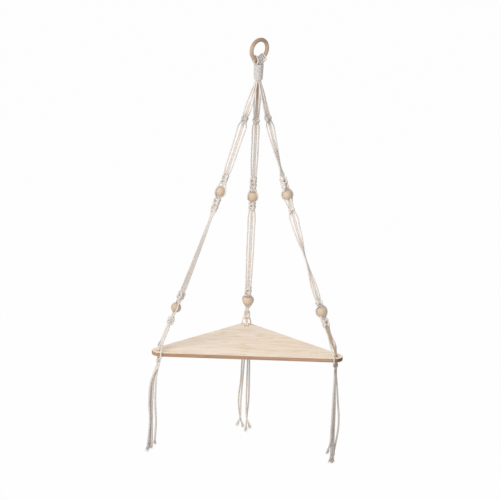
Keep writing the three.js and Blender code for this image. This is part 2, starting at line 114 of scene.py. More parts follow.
ring_mean = (RING_OUTSIDE - RING_BAR) / 2
ring_centre_z = RING_BAR - RING_OUTSIDE / 2
bar_z = ring_centre_z - ring_mean
wrap_top_z = bar_z - RING_BAR / 2 - WRAP_DROP
wrap_foot_z = wrap_top_z - WRAP_TURNS * WRAP_PITCH - WRAP_CORD
seat_z = wrap_top_z - 2 * CORD
board_front_y = -BOARD_LEG / math.sqrt(2) / 3 - BALANCE
board_half_width = BOARD_LEG / math.sqrt(2)
board_back_y = board_front_y + board_half_width
board_top_z = -BOARD_DROP
board_foot_z = board_top_z - BOARD_THICKNESS
bundle_inner = LANE / math.sqrt(3)
bundle_outer = bundle_inner + LANE
wrap_radius = bundle_outer + CORD / 2 + GAP + WRAP_CORD / 2
half_worker = 1.5 * LANE
half_filler = LANE / 2

# A working cord's way through one half knot, in lanes: across, to the front and down
HALF_KNOT = [
    (-1.55, -1.8, -0.85), (-1.95, -1.8, 0), (-1.95, -0.45, 0.8), (-1.05, 1.15, 0.2),
    (1.05, 1.1, -0.2), (1.95, -0.6, -0.8), (1.9, -1.85, -0.1), (1.55, -1.9, 0.85),
]
HALF_KNOT_PITCH = 2.5
KNOT_END = 2.1  # from its outermost half knot's middle to a knot's end
# Share of the CAD's width that a drawn knot keeps, on the arms and below the board
KNOT_PULL = 0.72
LOWER_KNOT_PULL = {"left": 0.38, "back": 0.55, "right": 0.46}

# Stations down each arm: kind, share of its length, roll, and how many half knots a knot has, how far an
# open stretch is spread, or by what angle the cords round a bead are turned to the front
ARMS = {
    "left": {
        "outer_seats": {"minus": 4, "plus_filler": 5, "plus": 6}, "inner_seat": 1,
        "neck_roll": 60, "filler_turn": 90, "foot_roll": 69,
        "stations": [
            ("open", 0.104, 25, 1.35), ("knot", 0.143, 20, 1), ("open", 0.171, 5, 1.65),
            ("open", 0.253, 5, 1.45), ("open", 0.33, 8, 1.3), ("knot", 0.363, 15, 2),
            ("bead", 0.4135, 0, 30), ("knot", 0.458, 20, 3), ("open", 0.51, 75, 1),
            ("open", 0.651, 58, 1), ("open", 0.766, 40, 1), ("knot", 0.801, 50, 2),
            ("bead", 0.846, 78, 0), ("knot", 0.895, 80, 2), ("open", 0.93, 60, 0.9),
            ("open", 0.97, 62, 1.0),
        ],
    },
    "back": {
        "outer_seats": {"minus": 3, "plus_filler": 2, "plus": 1}, "inner_seat": 0,
        "neck_roll": 0, "filler_turn": -90, "foot_roll": 0,
        "stations": [
            ("open", 0.085, 0, 1.25), ("knot", 0.163, -20, 1), ("open", 0.19, 0, 1.3),
            ("open", 0.315, 0, 1.3), ("knot", 0.412, 15, 3), ("bead", 0.4677, 0, 30),
            ("knot", 0.507, 25, 2), ("open", 0.547, 0, 1.35), ("open", 0.69, 5, 1.35),
            ("open", 0.81, 8, 1.1), ("knot", 0.857, 15, 2), ("bead", 0.9008, 10, -25),
            ("open", 0.935, 60, 0.8), ("knot", 0.964, 5, 1),
        ],
    },
    "right": {
        "outer_seats": {"minus": 7, "plus_filler": 8, "plus": 0}, "inner_seat": 2,
        "neck_roll": -60, "filler_turn": 90, "foot_roll": -69,
        "stations": [
            ("open", 0.1, -45, 1.1), ("knot", 0.138, -30, 1), ("open", 0.168, -5, 1.45),
            ("open", 0.248, -40, 1.2), ("open", 0.322, -75, 1), ("knot", 0.374, -40, 3),
            ("bead", 0.418, -10, -15), ("knot", 0.472, -12, 1), ("open", 0.5, 0, 1.6),
            ("open", 0.58, -25, 1.2), ("open", 0.638, -80, 1), ("open", 0.692, -70, 1),
            ("open", 0.735, -20, 1.05), ("knot", 0.811, -30, 1), ("bead", 0.8427, -15, -15),
            ("knot", 0.883, -30, 2), ("open", 0.93, -50, 1.0), ("open", 0.965, -40, 1.35),
        ],
    },
}
LOWER_KNOT_HALVES = 1

# For each tassel strand, points down, to the right and to the back of its top
TASSELS = {
    "left": {
        "minus": [
            (2, -0.8, 0), (10, -5.5, 0), (20, -10.5, 0.2), (35, -14.8, 0.3), (73, -16.7, 0.5),
            (114, -13.4, 1.5), (173, -16.3, 1.5),
        ],
        "minus_filler": [
            (2, -0.3, 0), (10, -2.2, 0.1), (20, -4.7, 0.3), (35, -6.8, 0.6), (73, -8, -1.5),
            (114, -6.8, -2.2), (150, -5.8, -2.5), (168, -6.4, -2.5),
        ],
        "plus_filler": [
            (2, -0.2, 0), (10, -1.2, 0.1), (20, -2.7, 0.2), (35, -3.6, 0.3), (73, -3.5, 1), (95, -2, 1),
            (120, -0.3, 1), (159, -1.2, 1),
        ],
        "plus": [
            (2, -0.5, 0), (10, -3.3, 0), (20, -6.6, 0.2), (35, -9.2, 0.3), (73, -10.4, -1), (114, -8, -2),
            (150, -7.4, -2.5), (170, -9.3, -2.5),
        ],
    },
    "back": {
        "minus": [
            (3, 0, 0), (42, -1, 0), (83, -1.8, 0.5), (125, -4.7, 1.5), (160, -0.3, 1.8), (177, 5.5, 1.8),
        ],
        "minus_filler": [
            (3, 0, 0), (42, 0.1, -0.5), (83, -1.4, -1), (125, -3.3, -1.8), (158, -3.3, -1.8),
            (173, -8, -1.8),
        ],
        "plus_filler": [
            (3, 0, 0), (42, 3.5, -1.2), (83, 4.1, -1.6), (125, 4.6, -1.8), (160, 6.4, -1.8),
            (178, 13, -1.8),
        ],
        "plus": [
            (3, 0, 0), (42, 4.1, 1.2), (83, 5.4, 1.6), (125, 6, 1.8), (160, 3.7, 1.8), (186, 2.8, 1.8),
        ],
    },
    "right": {
        "minus": [
            (3, 0, 0), (40, 3.7, 0.6), (62, 5.5, 0.6), (95, 8.8, 0.6), (122, 8.7, 0.8), (176, 1.3, 1.8),
        ],
        "minus_filler": [
            (3, 0, 0), (40, 0.1, 1), (81, 0.4, 1), (122, -0.6, 1), (170, -1.2, 0.8), (186, -1.8, 0.6),
        ],
        "plus_filler": [
            (3, 0, 0), (40, 0.5, 1.3), (81, 1.5, 1.3), (122, 1.8, 1.3), (170, 1.9, 1.1), (187, 1.8, 1),
        ],
        "plus": [
            (3, 0, 0), (40, -0.4, 0.7), (81, -0.8, 0.7), (122, -1.5, 0.7), (148, -2.3, 0.7),
            (166, -7, 0.5),
        ],
    },
}


def vec(*numbers):
    return np.array(numbers, float)


def unit(v):
    return v / np.linalg.norm(v)


# Neck and loops, with angles in degrees
OUTER_SEAT_STEP = 40
OUTER_SEAT_START = 10
INNER_SEAT_STEP = 120
INNER_SEAT_START = 90
LOOP_ARC_STEPS = 8
LOOP_ARC_PAST = 25  # how far a loop's arc goes on past half a turn, at each end

yaw = math.radians(RING_YAW)
ring_along = vec(math.cos(yaw), math.sin(yaw), 0)
ring_across = vec(-math.sin(yaw), math.cos(yaw), 0)


def seat_at(radius, degrees, z):
    angle = math.radians(degrees)
    return vec(math.cos(angle) * radius, math.sin(angle) * radius, z)


def outer_seat(k, z):
    return seat_at(bundle_outer, OUTER_SEAT_START + OUTER_SEAT_STEP * k, z)


def inner_seat(k, z, radius=bundle_inner):
    return seat_at(radius, INNER_SEAT_START + INNER_SEAT_STEP * k, z)


# Each loop's front and rear leg: its seat in the wrap, and how far its middle is on the way to it
LOOPS = [
    ((outer_seat, 6, 0.1, 0.55), (outer_seat, 5, 0.1, 0.55)),
    ((inner_seat, 1, 0.4, 0.85), (outer_seat, 4, 0.4, 0.4)),
    ((outer_seat, 7, 0.3, 0.4), (outer_seat, 3, 0.4, 0.4)),
    ((inner_seat, 2, 0.75, 0.75), (inner_seat, 0, 0.75, 0.75)),
    ((outer_seat, 8, 0.4, 0.4), (outer_seat, 2, 0.4, 0.4)),
    ((outer_seat, 0, 0.1, 0.55), (outer_seat, 1, 0.1, 0.55)),
]


def loop_radius(along):
    drop = math.sqrt(ring_mean**2 - along**2)
    clear = ring_mean - drop + RING_BAR / 2 / (drop / ring_mean) + GAP + CORD / 2
    return clear / math.cos(math.radians(90 + LOOP_ARC_PAST) / LOOP_ARC_STEPS)


def loop_point(along, across, z):
    return ring_along * along + ring_across * across + vec(0, 0, z)


def loop_leg(along, side, leg):
    seat, number, along_share, across_share = leg
    radius = loop_radius(along)
    angle = math.radians(-LOOP_ARC_PAST)
    across = side * radius * math.cos(angle)
    start_z = bar_z + radius * math.sin(angle)
    top = seat(number, wrap_top_z - GAP)
    middle = loop_point(
        along + (top @ ring_along - along) * along_share,
        across + (top @ ring_across - across) * across_share,
        (start_z + top[2]) / 2,
    )
    return [middle, top, seat(number, seat_z)]


# The drawn loops sit a little farther apart on the bar than the CAD's
LOOP_SPREAD = 1.22
LOOP_SHIFT = 0.3
FRONT_TOP_RADIUS = 6.3
FRONT_TOP_REACH = 6.0
FRONT_TOP_DEPTH = 0.9


def front_top(index):
    """Where a loop's front leg enters the wrap: evenly spread over its front, on a flattened arc."""
    x = (index / (len(LOOPS) - 1) * 2 - 1) * FRONT_TOP_REACH
    return vec(x, -math.sqrt(FRONT_TOP_RADIUS**2 - x**2) * FRONT_TOP_DEPTH, wrap_top_z - GAP)


def loop_routes():
    routes = []
    for index, (front, rear) in enumerate(LOOPS):
        along = (index - (len(LOOPS) - 1) / 2) * LANE * LOOP_SPREAD + LOOP_SHIFT
        radius = loop_radius(along)
        side_z = ring_centre_z - math.sqrt(ring_mean**2 - along**2)
        middle, top, seat = loop_leg(along, -1, front)
        if index:  # the first loop goes down where the CAD's does, clear of the swinging ring
            top = front_top(index)
            middle = (top + loop_point(along, -radius, side_z)) / 2
        points = [seat, top, middle]
        for i in range(1, LOOP_ARC_STEPS + 1):
            degrees = 180 + LOOP_ARC_PAST - (180 + 2 * LOOP_ARC_PAST) * i / LOOP_ARC_STEPS
            angle = math.radians(degrees)
            points.append(loop_point(along, radius * math.cos(angle), bar_z + radius * math.sin(angle)))
        points += loop_leg(along, 1, rear)
        routes.append(points)
    return routes


def wrap_route():
    """The gathering cord's turns, a little wider at the top, with both ends led straight on."""
    points = []
    count = WRAP_TURNS * WRAP_STEPS
    for i in range(count + 1):
        turn = i / WRAP_STEPS
        radius = wrap_radius + WRAP_TAPER * (1 - i / count)
        points.append(seat_at(radius, WRAP_START + 360 * turn, wrap_top_z - turn * WRAP_PITCH))
    first = points[0] + unit(points[0] - points[1]) * WRAP_CORD
    last = points[-1] + unit(points[-1] - points[-2]) * WRAP_CORD
    return [first, *points, last]


# Board corners: tip, the two edges that cords pass (direction along, direction out and how far from the
# tip), and the hole's direction and distance from the tip
CORNERS = {
    "left": {
        "tip": vec(-board_half_width, board_front_y, 0),
        "plus_edge": (0, -90, FRONT_GRIP), "minus_edge": (45, 135, FAR_GRIP),
        "inward": 22.5, "inset": FRONT_HOLE_INSET,
    },
    "back": {
        "tip": vec(0, board_back_y, 0),
        "plus_edge": (-45, 45, BACK_GRIP), "minus_edge": (-135, 135, BACK_GRIP),
        "inward": -90, "inset": BACK_HOLE_INSET,
    },
    "right": {
        "tip": vec(board_half_width, board_front_y, 0),
        "plus_edge": (135, 45, FAR_GRIP), "minus_edge": (180, -90, FRONT_GRIP),
        "inward": 157.5, "inset": FRONT_HOLE_INSET,
    },
}


def hole_centre(corner):
    return corner["tip"] + seat_at(corner["inset"], corner["inward"], 0)


def edge_point(corner, edge, z):
    along, out, grip = edge
    return corner["tip"] + seat_at(grip, along, z) + seat_at(CORD / 2 + GAP, out, 0)


# Arms
neck_reach = (bundle_inner + bundle_outer) / 2
TANGENT_SHARE = 1e-4


def section_at(centre, tangent):
    """A section's centre, with the directions to its right and to its front."""
    right = unit(vec(1, 0, 0) - tangent * tangent[0])
    return centre, right, np.cross(tangent, right)


class ArmLine:
    """An arm's middle line, from the wrap's foot to the board's hole and on straight down."""

    def __init__(self, name):
        self.hole = hole_centre(CORNERS[name])
        self.start = inner_seat(ARMS[name]["inner_seat"], wrap_foot_z, neck_reach)
        self.end = self.hole + vec(0, 0, board_top_z + CORD_RISE)
        self.inward = unit(-self.hole) * ARM_SAG
        self.length = np.linalg.norm(self.end - self.start)

    def point(self, share):
        return self.start + (self.end - self.start) * share + self.inward * 4 * share * (1 - share)

    def above(self, distance):
        share = distance / self.length
        ahead = self.point(share + TANGENT_SHARE) - self.point(share - TANGENT_SHARE)
        return section_at(self.point(share), unit(ahead))

    def below(self, depth):
        return section_at(self.hole + vec(0, 0, board_foot_z - depth), vec(0, 0, -1))


def section_point(section, roll, across, out):
    """A place in a section, across it and to its front, after a turn by the roll."""
    centre, right, front = section
    c, s = math.cos(math.radians(roll)), math.sin(math.radians(roll))
    return centre + right * (across * c - out * s) + front * (across * s + out * c)


def knot_reach(halves):
    """How far a knot reaches above and below its middle."""
    return ((halves - 1) / 2 * HALF_KNOT_PITCH + KNOT_END) * LANE


def tie_knot(line, middle, roll, halves, worker, pull=KNOT_PULL):
    """A working cord's way through a knot; each half knot takes it to the other side."""
    reach = knot_reach(halves)
    points = [section_point(line(middle - reach), roll, worker["side"] * half_worker, 0)]
    for half in range(halves):
        centre = middle + (half - (halves - 1) / 2) * HALF_KNOT_PITCH * LANE
        for across, out, down in HALF_KNOT:
            section = line(centre + down * LANE)
            sideways = -worker["side"] * across * LANE * pull
            points.append(section_point(section, roll, sideways, worker["face"] * out * LANE * pull))
        worker["side"] = -worker["side"]
    points.append(section_point(line(middle + reach), roll, worker["side"] * half_worker, 0))
    return points


# Round a bead a drawn cord lies closer than the CAD's, and starts closer to the arm's middle
BEAD_CLEARANCE = 0.1
BEAD_START_SHARE = 0.9


def pass_bead(line, middle, roll, side, forward):
    """The way round a bead, close to it, with both cords turned to its front by the angle forward."""
    clear = BEAD / 2 + CORD / 2 + BEAD_CLEARANCE
    widest = math.acos(half_worker * BEAD_START_SHARE / clear)
    points = []
    for i in range(1, BEAD_PASS_STEPS):
        angle = -widest + 2 * widest * i / BEAD_PASS_STEPS
        section = line(middle + math.sin(angle) * clear)
        turned = roll + side * forward * math.cos(angle)
        points.append(section_point(section, turned, side * math.cos(angle) * clear, 0))
    return points


# How much fuller the cords are drawn inside a knot, and over what length that begins and ends
KNOT_SWELL = {"working": 0.36, "filler": 0.42}
KNOT_SWELL_RAMP = 2


def knot_swell(name, line, cord, most):
    """A cord's thickness at each of its points, as a share of the usual: more inside the knots."""
    down = (cord - line.start) @ unit(line.end - line.start)
    share = np.ones(len(cord))
    for kind, middle, reach, *_ in places_of(name, line):
        if kind == "knot":
            inside = np.minimum(down - middle + reach, middle + reach - down)
            share += most * np.clip(inside / KNOT_SWELL_RAMP, 0, 1)
    return share


def open_stretch(start, end):
    """Places of an open stretch: distance down the arm, roll and spread, shared out evenly."""
    steps = math.ceil((end[0] - start[0]) / OPEN_STEP)
    return [[a + (b - a) * i / steps for a, b in zip(start, end)] for i in range(1, steps)]


def places_of(name, line):
    """Each station's kind, distance down the arm, reach to each side, roll, value and spread."""
    for kind, share, roll, value in ARMS[name]["stations"]:
        reach = {"open": 0, "bead": BEAD / 2, "knot": knot_reach(value)}[kind]
        yield kind, share * line.length, reach, roll, value, value if kind == "open" else 1


# At the back corner the drawn cords pass the edge nearer to its middle, and rise in a bow before it
BACK_NEARER = 3.5
BACK_BEHIND = 2.7
BACK_BOW_WIDTH = vec(0.8, 1, 1)
BACK_BOW_RISE = vec(0, -0.8, 6.5)


def worker_route(name, line, sign):
    """A working cord's points, from the wrap through knots and past beads to below the lower knot."""
    arm, corner = ARMS[name], CORNERS[name]
    worker = {"side": sign, "face": -sign}
    seat = arm["outer_seats"]["minus" if sign < 0 else "plus"]
    points = [outer_seat(seat, seat_z - GAP), outer_seat(seat, wrap_foot_z)]
    last = (0, arm["neck_roll"], 1)

    def open_point(at, roll, spread):
        return section_point(line.above(at), roll, worker["side"] * half_worker * spread, 0)

    for kind, middle, reach, roll, value, spread in places_of(name, line):
        points += [open_point(*place) for place in open_stretch(last, (middle - reach, roll, spread))]
        if kind == "knot":
            points += tie_knot(line.above, middle, roll, value, worker)
        elif kind == "bead":
            points += pass_bead(line.above, middle, roll, worker["side"], value)
        else:
            points.append(open_point(middle, roll, spread))
        last = (middle + reach, roll, spread)
    edge = corner["minus_edge"] if worker["side"] < 0 else corner["plus_edge"]
    over = edge_point(corner, edge, board_top_z + CORD_RISE)
    under = edge_point(corner, edge, board_foot_z - CORD_RISE)
    if name == "back":
        nearer = vec(-math.copysign(BACK_NEARER, over[0]), BACK_BEHIND, 0)
        over, under = over + nearer, under + nearer
        points.append(over * BACK_BOW_WIDTH + BACK_BOW_RISE)
    points += [over, under]
    pull = LOWER_KNOT_PULL[name]
    points += tie_knot(line.below, LOWER_KNOT_DROP, arm["foot_roll"], LOWER_KNOT_HALVES, worker, pull)[1:]
    points.append(points[-1] - vec(0, 0, CORD))
    return points


def filler_route(name, line, sign):
    """A filler's points, straight through knots, beads and the board's hole."""
    arm = ARMS[name]
    across = sign * half_filler

    def top_at(z):
        if sign < 0:
            return inner_seat(arm["inner_seat"], z)
        return outer_seat(arm["outer_seats"]["plus_filler"], z)

    points = [top_at(seat_z - GAP), top_at(wrap_foot_z)]
    last = (0, arm["neck_roll"] + arm["filler_turn"], 1)
    for kind, middle, reach, roll, _, spread in places_of(name, line):
        for at, turned, _ in open_stretch(last, (middle - reach, roll, spread)):
            points.append(section_point(line.above(at), turned, across, 0))
        points.append(section_point(line.above(middle - reach), roll, across, 0))
        if kind != "open":
            points.append(section_point(line.above(middle + reach), roll, across, 0))
        last = (middle + reach, roll, spread)
    drop = LOWER_KNOT_DROP + knot_reach(LOWER_KNOT_HALVES) + CORD
    points.append(section_point(line.below(-BOARD_THICKNESS - CORD_RISE), arm["foot_roll"], across, 0))
    points.append(section_point(line.below(drop), arm["foot_roll"], across, 0))
    return points


# Smooth lines
RING_STEP = 0.8  # between two rings of a rope's mesh
SAMPLES_PER_STEP = 3  # on the curve, before it is shared out evenly
LEAST_SAMPLES = 6


def smooth(points):
    """A centripetal Catmull-Rom line through the points, with its own points RING_STEP apart."""
    p = np.array([2 * points[0] - points[1], *points, 2 * points[-1] - points[-2]])
    fine = []
    for a, b, c, d in zip(p, p[1:], p[2:], p[3:]):
        t0, t1 = 0.0, math.sqrt(np.linalg.norm(b - a))
        t2 = t1 + math.sqrt(np.linalg.norm(c - b))
        t3 = t2 + math.sqrt(np.linalg.norm(d - c))
        count = max(LEAST_SAMPLES, math.ceil(np.linalg.norm(c - b) / RING_STEP * SAMPLES_PER_STEP))
        t = np.linspace(t1, t2, count, endpoint=False)[:, None]
        ab = ((t1 - t) * a + (t - t0) * b) / (t1 - t0)
        bc = ((t2 - t) * b + (t - t1) * c) / (t2 - t1)
        cd = ((t3 - t) * c + (t - t2) * d) / (t3 - t2)
        abc = ((t2 - t) * ab + (t - t0) * bc) / (t2 - t0)
        bcd = ((t3 - t) * bc + (t - t1) * cd) / (t3 - t1)
        fine.append(((t2 - t) * abc + (t - t1) * bcd) / (t2 - t1))
    fine = np.vstack([*fine, p[-2:-1]])
    along = np.concatenate([[0], np.cumsum(np.linalg.norm(np.diff(fine, axis=0), axis=1))])
    at = np.linspace(0, along[-1], max(2, round(along[-1] / RING_STEP) + 1))
    return np.stack([np.interp(at, along, fine[:, k]) for k in range(3)], axis=1)


# Ropes: three plies laid up into one cord, as one closed mesh
ROPE = 3.0  # diameter over the crowns of the plies
THIN_ROPE = 2.5  # the gathering cord
LOOP_ROPE = 3.1
LAY_TURN = 3.8  # length of one full turn of the plies, in diameters
# Shares of the radius on a ply's side and between two plies, and at twelve places round the cord
PLY_SIDE = 0.993
PLY_VALLEY = 0.97
PLY_PROFILE = [1.0, PLY_SIDE, PLY_VALLEY, PLY_SIDE] * 3
UNEVEN_SHARE = 0.012  # of the radius
UNEVEN_SPAN = 24  # rings over which the unevenness is smoothed
LAY_SHIFT = 37.0  # along the cotton's fibres from one cord to the next


def make_mesh(name, vertices, faces):
    mesh = bpy.data.meshes.new(name)
    mesh.from_pydata((np.asarray(vertices) * MM).tolist(), [], faces)
    mesh.polygons.foreach_set("use_smooth", [True] * len(mesh.polygons))
    mesh.update()
    return mesh


def add_object(name, mesh, material, body, placed=Matrix()):
    piece = bpy.data.objects.new(name, mesh)
    scene.collection.objects.link(piece)
    mesh.materials.append(material)
    piece.matrix_world = placed
    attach(piece, body)
    return piece


def tube_faces(rings, sides):
    i, j = np.meshgrid(np.arange(rings - 1), np.arange(sides), indexing="ij")
    near, far = i * sides + j, i * sides + (j + 1) % sides
    return np.stack([near, far, far + sides, near + sides], axis=-1).reshape(-1, 4).tolist()


UPRIGHT = 0.9  # share of a direction that points up or down


def frames_along(line):
    """The tangent and two square directions at each point, carried along without twist."""
    ahead = np.gradient(line, axis=0)
    ahead /= np.linalg.norm(ahead, axis=1)[:, None]
    helper = vec(0, 0, 1) if abs(ahead[0][2]) < UPRIGHT else vec(1, 0, 0)
    across = unit(np.cross(ahead[0], helper))
    first = []
    for tangent in ahead:
        across = unit(across - tangent * (across @ tangent))
        first.append(across)
    first = np.array(first)
    return ahead, first, np.cross(ahead, first)


def set_lay(mesh, places, tints):
    """Keeps each point's place in the untwisted cord, in radii, and its tint."""
    for name, values in (("lay", places), ("tint", tints)):
        kept = mesh.attributes.new(name, "FLOAT_VECTOR", "POINT")
        kept.data.foreach_set("vector", np.asarray(values, np.float32).ravel())


def grey(share):
    return (share, share, share)


PLAIN_TINT = grey(1.0)


def tint_at(distance, stops):
    """The tint at each distance, between stops that give a place and a share of each colour."""
    places = [at for at, _ in stops]
    return np.stack([np.interp(distance, places, [c[k] for _, c in stops]) for k in range(3)], axis=-1)


def rope_mesh(name, line, diameter, seed, start_turn=0.0, tint=PLAIN_TINT, swell=1.0):
    """One rope along the line. Its tint and swell are for all of it or for each ring."""
    draw = np.random.default_rng(seed)
    _, first, second = frames_along(line)
    sides = len(PLY_PROFILE)
    distance = np.arange(len(line)) * RING_STEP
    turn = start_turn + distance / (LAY_TURN * diameter)
    angle = 2 * np.pi * (turn[:, None] + np.arange(sides)[None] / sides)
    window = np.hanning(UNEVEN_SPAN + 1) / (UNEVEN_SPAN / 2)
    uneven = np.convolve(draw.normal(0, 1, len(line) + UNEVEN_SPAN), window, "valid")
    shares = np.array(PLY_PROFILE)[None] * (1 + UNEVEN_SHARE * uneven[:, None])
    radius = diameter / 2 * shares * np.broadcast_to(swell, len(line))[:, None]
    across, beside = np.cos(angle) * radius, np.sin(angle) * radius
    rings = line[:, None] + across[..., None] * first[:, None] + beside[..., None] * second[:, None]
    vertices = np.vstack([rings.reshape(-1, 3), line[:1], line[-1:]])
    count = len(line) * sides
    faces = tube_faces(len(line), sides)
    faces += [[(j + 1) % sides, j, count] for j in range(sides)]
    last = count - sides
    faces += [[last + j, last + (j + 1) % sides, count + 1] for j in range(sides)]
    mesh = make_mesh(name, vertices, faces)
    flat = 2 * np.pi * np.arange(sides) / sides
    lay = np.zeros((len(vertices), 3))
    lay[:count, 0] = (np.cos(flat)[None] * shares).ravel()
    lay[:count, 1] = (np.sin(flat)[None] * shares).ravel()
    radii = distance / diameter * 2
    lay[:count, 2] = np.repeat(radii, sides)
    lay[count:, 2] = radii[[0, -1]]
    lay[:, 2] += seed * LAY_SHIFT
    tints = np.broadcast_to(tint, (len(line), 3))
    set_lay(mesh, lay, np.vstack([np.repeat(tints, sides, axis=0), tints[[0, -1]]]))
    return mesh, float(turn[-1])


# Materials. A colour mix has its sockets at these places
MIX_FACTOR, MIX_ONE, MIX_OTHER, MIX_RESULT = 0, 6, 7, 2


class Graph:
    """The nodes of a material or of the world, made and joined in one call each."""

    def __init__(self, owner):
        owner.use_nodes = True
        self.owner = owner
        self.tree = owner.node_tree
        self.surface = self.tree.nodes.get("Principled BSDF")

    def node(self, kind, inputs=(), **settings):
        made = self.tree.nodes.new(f"ShaderNode{kind}")
        for key, value in settings.items():
            setattr(made, key, value)
        self.feed(made, dict(inputs))
        return made

    def feed(self, made, inputs):
        """Joins or sets a node's inputs. One that is None stays as it is."""
        for key, value in inputs.items():
            if isinstance(value, bpy.types.NodeSocket):
                self.tree.links.new(value, made.inputs[key])
            elif value is not None:
                made.inputs[key].default_value = value

    def math(self, operation, *values):
        return self.node("Math", dict(enumerate(values)), operation=operation).outputs[0]

    def vector(self, operation, *values):
        made = self.node("VectorMath", dict(enumerate(values)), operation=operation)
        return made.outputs["Value" if operation == "LENGTH" else "Vector"]

    def noise(self, place, scales, detail=2.0, roughness=0.5, output="Fac"):
        """Noise at a place, which is first scaled along each axis."""
        scaled = self.vector("MULTIPLY", place, scales)
        inputs = {"Vector": scaled, "Scale": 1.0, "Detail": detail, "Roughness": roughness}
        return self.node("TexNoise", inputs).outputs[output]

    def ramp(self, factor, stops, easing="LINEAR"):
        made = self.node("ValToRGB", {"Fac": factor})
        ramp = made.color_ramp
        ramp.interpolation = easing
        for _ in range(len(stops) - 2):
            ramp.elements.new(0.5)
        for element, (place, colour) in zip(ramp.elements, stops):
            element.position = place
            element.color = (*colour, 1.0)
        return made.outputs["Color"]

    def fade(self, factor, start, end, most):
        """From nothing where the factor is at start to the most at end."""
        return self.math("MULTIPLY", self.ramp(factor, [(start, grey(0.0)), (end, grey(1.0))]), most)

    def mix(self, factor, one, other, blend="MIX"):
        """Two colours, each a socket or a written colour, mixed by the factor."""
        ends = [(*shade(end), 1.0) if isinstance(end, str) else end for end in (one, other)]
        inputs = {MIX_FACTOR: factor, MIX_ONE: ends[0], MIX_OTHER: ends[1]}
        return self.node("Mix", inputs, data_type="RGBA", blend_type=blend).outputs[MIX_RESULT]

    def span(self, value, start, end, low=0.0, high=1.0, easing="LINEAR"):
        inputs = {"Value": value, "From Min": start, "From Max": end, "To Min": low, "To Max": high}
        return self.node("MapRange", inputs, interpolation_type=easing).outputs["Result"]

    def bump(self, height, strength, distance, under=None):
        inputs = {"Height": height, "Strength": strength, "Distance": distance, "Normal": under}
        return self.node("Bump", inputs).outputs["Normal"]

    def finish(self, inputs):
        self.feed(self.surface, inputs)
        return self.owner


def shade(code):
    """A colour written as a hex code, as Blender's linear numbers."""
    channels = [int(code[i : i + 2], 16) / 255 for i in (0, 2, 4)]
    return tuple(c / 12.92 if c <= 0.04045 else ((c + 0.055) / 1.055) ** 2.4 for c in channels)


# Scales of the cotton's noises, across, beside and along the cord
FIBRE_SCALES = (6.0, 6.0, 1.1)
PATCH_SCALES = (0.3, 0.3, 0.07)


def cotton(name, light, valley_shade):
    """Soft twisted cotton: paler on the crowns of the plies and darker in the valleys between them as
    painted shade, with fine fibres along them.
    """
    g = Graph(bpy.data.materials.new(name))
    lay = g.node("Attribute", attribute_name="lay").outputs["Vector"]
    apart = g.node("SeparateXYZ", {"Vector": lay})
    flat = g.node("CombineXYZ", {"X": apart.outputs["X"], "Y": apart.outputs["Y"]}).outputs[0]
    crown_lit_share = g.span(g.vector("LENGTH", flat), PLY_VALLEY, PLY_SIDE, easing="SMOOTHSTEP")
    fibres = g.noise(lay, FIBRE_SCALES, detail=4.0, roughness=0.65)
    patches = g.noise(lay, PATCH_SCALES)
    # Painted shade: the valley colour darkens the cord between its plies, and the crowns keep the light
    # colour
    colour = g.mix(crown_lit_share, valley_shade, light)
    colour = g.mix(g.fade(fibres, 0.35, 0.75, most=0.3), colour, "F2EEEA")
    patched = g.ramp(patches, [(0.35, shade("F6F2ED")), (0.65, shade("FFFFFF"))])
    colour = g.mix(1.0, colour, patched, "MULTIPLY")
    # Multiplied by each cord's tint, which on the arms and tassels is painted light and shade
    tint = g.node("Attribute", attribute_name="tint").outputs["Vector"]
    colour = g.mix(1.0, colour, tint, "MULTIPLY")
    normal = g.bump(fibres, strength=0.25, distance=0.0002)
    soft = {"Sheen Weight": 0.2, "Sheen Roughness": 0.5, "Specular IOR Level": 0.2}
    return g.finish({"Base Color": colour, "Roughness": 0.93, "Normal": normal, **soft})


# Scales of the wood's noises, along the fibres and across them
WARP_SCALES = (0.006, 0.03, 0.03)
FINE_SCALES = (0.035, 1.5, 1.5)
PORE_SCALES = (0.12, 5.0, 5.0)
BROAD_SCALES = (0.004, 0.035, 0.035)
WARP_RINGS = 5  # how many growth rings the warp moves across
RING_LENGTH_SHARE = 0.012  # how little the growth rings change along the fibres
# From early to late wood within one growth ring
RING_BANDS = [(0.0, grey(0.0)), (0.55, grey(0.25)), (0.88, grey(1.0)), (1.0, grey(0.0))]
# The colour that painted shade multiplies into the wood
PAINTED_SHADE_COLOUR = "8F7C70"


